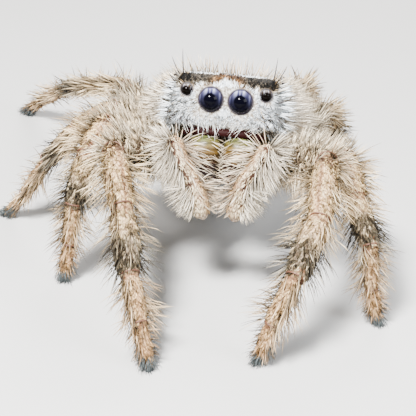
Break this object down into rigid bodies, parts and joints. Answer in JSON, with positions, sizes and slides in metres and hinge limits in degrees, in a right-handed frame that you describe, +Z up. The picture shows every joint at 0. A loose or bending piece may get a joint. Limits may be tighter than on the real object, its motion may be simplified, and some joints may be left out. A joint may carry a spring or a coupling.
{
  "type": "jumping spider figure",
  "caption": "Life-size jumping spider figure in a still standing pose: hairy body on a narrow waist, domed head with round eyes, short feelers, bent walking legs.",
  "frame": {"origin": "middle of the footprint's bounding box, on the floor the soles rest on", "axes": "-Y is where the spider faces, +X its left side, +Z up; the longest way, from front soles to hind soles, is along Y"},
  "size_m": [0.0108, 0.0164, 0.0052],
  "materials": {
    "coat": "dense short hair, cream to tan over a dark skin",
    "leg": "hairy, tan with pale fringes",
    "leg_band": "hairy, tan with a dark grey band",
    "jaw": "smooth, olive with a golden green sheen",
    "fang": "smooth, glossy, red-brown to black",
    "eye": "polished, nearly black",
    "bare": "bare skin, brown"
  },
  "bodies": {
    "root": {"head_and_thorax": "coat", "abdomen": "coat", "waist": "bare", "spinnerets": "bare", "left_jaw": "jaw", "left_fang": "fang", "left_feeler_limb": "coat", "left_feeler_tip": "coat", "left_front_middle_eye": "eye", "left_front_side_eye": "eye", "left_small_upper_eye": "eye", "left_rear_eye": "eye", "right_jaw": "jaw", "right_fang": "fang", "right_feeler_limb": "coat", "right_feeler_tip": "coat", "right_front_middle_eye": "eye", "right_front_side_eye": "eye", "right_small_upper_eye": "eye", "right_rear_eye": "eye", "left_leg_1_femur": "leg", "left_leg_1_patella": "leg", "left_leg_1_tibia": "leg_band", "left_leg_1_metatarsus": "leg", "left_leg_1_tarsus": "leg", "left_leg_2_femur": "leg", "left_leg_2_patella": "leg", "left_leg_2_tibia": "leg_band", "left_leg_2_metatarsus": "leg", "left_leg_2_tarsus": "leg", "left_leg_3_femur": "leg", "left_leg_3_patella": "leg", "left_leg_3_tibia": "leg_band", "left_leg_3_metatarsus": "leg", "left_leg_3_tarsus": "leg", "left_leg_4_femur": "leg", "left_leg_4_patella": "leg", "left_leg_4_tibia": "leg_band", "left_leg_4_metatarsus": "leg", "left_leg_4_tarsus": "leg", "right_leg_1_femur": "leg", "right_leg_1_patella": "leg", "right_leg_1_tibia": "leg_band", "right_leg_1_metatarsus": "leg", "right_leg_1_tarsus": "leg", "right_leg_2_femur": "leg", "right_leg_2_patella": "leg", "right_leg_2_tibia": "leg_band", "right_leg_2_metatarsus": "leg", "right_leg_2_tarsus": "leg", "right_leg_3_femur": "leg", "right_leg_3_patella": "leg", "right_leg_3_tibia": "leg_band", "right_leg_3_metatarsus": "leg", "right_leg_3_tarsus": "leg", "right_leg_4_femur": "leg", "right_leg_4_patella": "leg", "right_leg_4_tibia": "leg_band", "right_leg_4_metatarsus": "leg", "right_leg_4_tarsus": "leg"}
  },
  "joints": []
}
